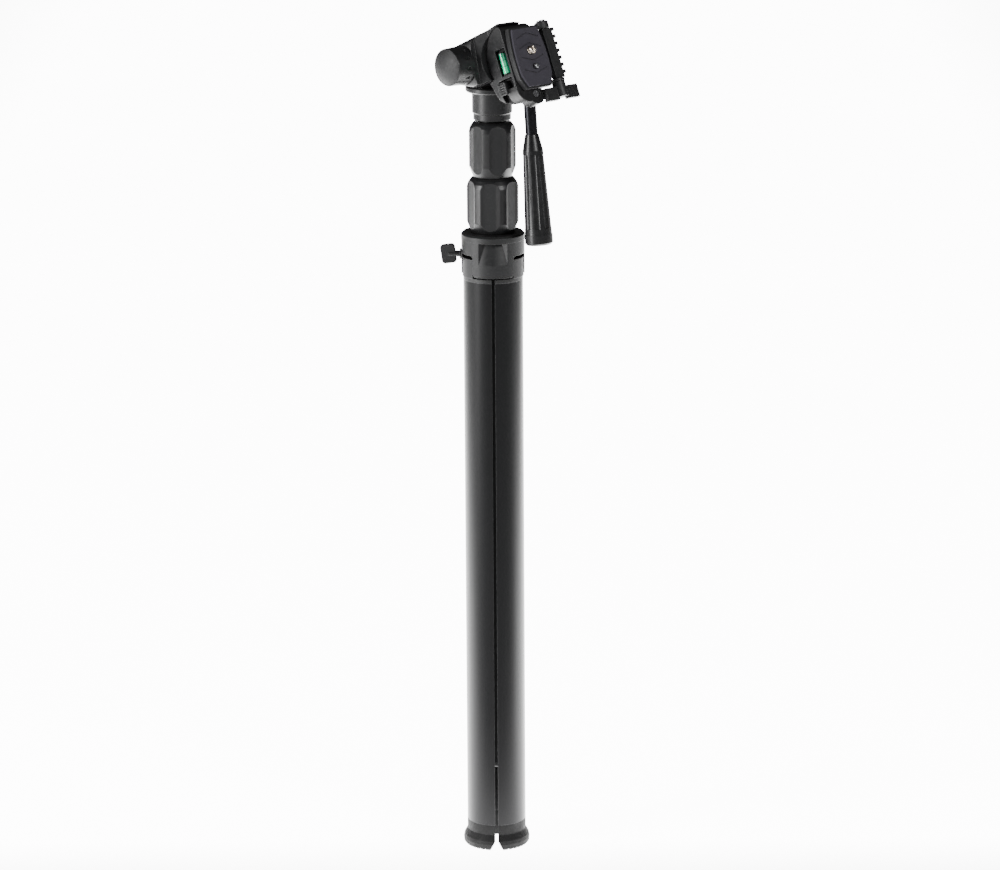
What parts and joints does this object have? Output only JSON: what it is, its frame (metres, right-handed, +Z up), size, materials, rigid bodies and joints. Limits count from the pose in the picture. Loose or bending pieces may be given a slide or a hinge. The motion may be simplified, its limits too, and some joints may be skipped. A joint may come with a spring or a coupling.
{
  "type": "folding tripod",
  "caption": "Folded tripod with closed legs, a telescoping centre column with two twist collars, and a pan and tilt head with a handle, a quick-release plate and a fold-away phone jaw.",
  "frame": {"origin": "on the column's axis at floor level, under the closed legs", "axes": "+Z up along the column; -Y is the front, where a gap between two legs faces; +X is to the right seen from the front"},
  "size_m": [0.1183, 0.0801, 0.7079],
  "materials": {
    "anodised_tube": "black anodised, satin",
    "black_abs": "moulded black plastic with a fine grain",
    "acetal": "plain moulded",
    "foot_rubber": "matt moulded rubber",
    "pad_rubber": "matt moulded rubber with V grooves",
    "satin_cap": "smooth satin plastic",
    "gloss_grip": "smooth black plastic",
    "black_rod": "black painted",
    "steel": "zinc plated",
    "nickel_steel": "bright nickel plated",
    "vial_green": "clear green acrylic tube",
    "brass": "turned"
  },
  "bodies": {
    "hub": {"hub_body": "black_abs", "hub_cap": "black_abs", "column_bush": "acetal", "leg_hinge_pins": "steel", "lock_screw_nut": "brass"},
    "leg_1": {"leg_tube_1": "anodised_tube", "leg_bracket_1": "black_abs", "leg_foot_1": "foot_rubber"},
    "leg_2": {"leg_tube_2": "anodised_tube", "leg_bracket_2": "black_abs", "leg_foot_2": "foot_rubber"},
    "leg_3": {"leg_tube_3": "anodised_tube", "leg_bracket_3": "black_abs", "leg_foot_3": "foot_rubber"},
    "lock_screw": {"column_lock_screw": "black_abs"},
    "outer_column": {"column_outer_tube": "anodised_tube", "column_end_plug": "acetal", "lower_collet": "acetal"},
    "lower_grip": {"lower_collar": "black_abs"},
    "middle_column": {"column_middle_tube": "anodised_tube", "upper_collet": "acetal"},
    "upper_grip": {"upper_collar": "black_abs"},
    "inner_column": {"column_inner_tube": "anodised_tube", "pan_base": "black_abs"},
    "pan_head": {"pan_yoke": "black_abs", "pan_bolt": "steel", "pan_washer": "steel"},
    "tilt_head": {"tilt_housing": "black_abs", "tilt_bolt": "steel", "platform_body": "black_abs", "level_vial": "vial_green", "lever_pivot_screw": "steel"},
    "tilt_knob": {"tilt_knob": "black_abs", "knob_cap": "satin_cap"},
    "pan_handle": {"handle_rod": "black_rod", "handle_grip": "gloss_grip", "handle_end_cap": "gloss_grip"},
    "quick_lever": {"release_lever": "black_abs"},
    "camera_plate": {"plate_base": "black_abs", "plate_pad": "pad_rubber", "clamp_spindle": "steel", "video_pin_spring": "steel"},
    "camera_stud": {"camera_screw": "nickel_steel"},
    "sprung_pin": {"video_pin": "steel"},
    "clamp_jaw": {"phone_jaw": "black_abs"},
    "wing_nut": {"clamp_wing_nut": "black_abs"}
  },
  "joints": [
    {"name": "leg_1_swing", "type": "hinge", "parent": "hub", "child": "leg_1", "pos_m": [0.01819, -0.0105, 0.5044], "axis": [-0.5, -0.866, 0], "range_deg": [0, 25]},
    {"name": "leg_2_swing", "type": "hinge", "parent": "hub", "child": "leg_2", "pos_m": [0, 0.021, 0.5044], "axis": [1, 0, 0], "range_deg": [0, 25]},
    {"name": "leg_3_swing", "type": "hinge", "parent": "hub", "child": "leg_3", "pos_m": [-0.01819, -0.0105, 0.5044], "axis": [-0.5, 0.866, 0], "range_deg": [0, 25]},
    {"name": "lock_screw_turn", "type": "hinge", "parent": "hub", "child": "lock_screw", "pos_m": [-0.02989, 0.00262, 0.511], "axis": [-0.9962, 0.0872, 0], "range_deg": [0, 270]},
    {"name": "column_slide", "type": "slide", "parent": "hub", "child": "outer_column", "axis": [0, 0, 1], "range_m": [0, 0.36]},
    {"name": "lower_collar_twist", "type": "hinge", "parent": "outer_column", "child": "lower_grip", "pos_m": [0, 0, 0.55], "axis": [0, 0, 1], "range_deg": [0, 120]},
    {"name": "middle_slide", "type": "slide", "parent": "outer_column", "child": "middle_column", "axis": [0, 0, 1], "range_m": [0, 0.38]},
    {"name": "upper_collar_twist", "type": "hinge", "parent": "middle_column", "child": "upper_grip", "pos_m": [0, 0, 0.6], "axis": [0, 0, 1], "range_deg": [0, 120]},
    {"name": "inner_slide", "type": "slide", "parent": "middle_column", "child": "inner_column", "axis": [0, 0, 1], "range_m": [0, 0.38]},
    {"name": "pan_turn", "type": "hinge", "parent": "inner_column", "child": "pan_head", "pos_m": [0, 0, 0.65], "axis": [0, 0, 1], "continuous": true},
    {"name": "head_tilt", "type": "hinge", "parent": "pan_head", "child": "tilt_head", "pos_m": [0, 0, 0.6721], "axis": [-0.7431, -0.6691, 0], "range_deg": [0, 96]},
    {"name": "knob_turn", "type": "hinge", "parent": "tilt_head", "child": "tilt_knob", "pos_m": [0, 0, 0.6721], "axis": [-0.7431, -0.6691, 0], "range_deg": [0, 300]},
    {"name": "handle_twist", "type": "hinge", "parent": "tilt_head", "child": "pan_handle", "pos_m": [0.02857, -0.01828, 0.6721], "axis": [0.063, -0.0699, -0.9956], "range_deg": [-180, 180]},
    {"name": "lever_release", "type": "hinge", "parent": "tilt_head", "child": "quick_lever", "pos_m": [0.03232, -0.0359, 0.64961], "axis": [0.6113, -0.6789, 0.4067], "range_deg": [0, 35], "stiffness_Nm_per_rad": 0.05, "springref_deg": -17.19},
    {"name": "plate_release", "type": "slide", "parent": "tilt_head", "child": "camera_plate", "axis": [0.6113, -0.6789, 0.4067], "range_m": [0, 0.025]},
    {"name": "camera_screw_turn", "type": "hinge", "parent": "camera_plate", "child": "camera_stud", "pos_m": [0.03138, -0.03485, 0.6862], "axis": [0.6113, -0.6789, 0.4067], "continuous": true},
    {"name": "video_pin_push", "type": "slide", "parent": "camera_plate", "child": "sprung_pin", "axis": [0.6113, -0.6789, 0.4067], "range_m": [-0.0024, 0], "stiffness_N_per_m": 400, "springref_m": 0.002, "deforming": ["video_pin_spring"]},
    {"name": "jaw_fold", "type": "hinge", "parent": "camera_plate", "child": "clamp_jaw", "pos_m": [0.04645, -0.01796, 0.68291], "axis": [-0.2722, 0.3023, 0.9135], "range_deg": [0, 90]},
    {"name": "wing_nut_turn", "type": "hinge", "parent": "camera_plate", "child": "wing_nut", "pos_m": [0.05461, -0.02703, 0.65551], "axis": [0.2722, -0.3023, -0.9135], "range_deg": [0, 300]}
  ]
}
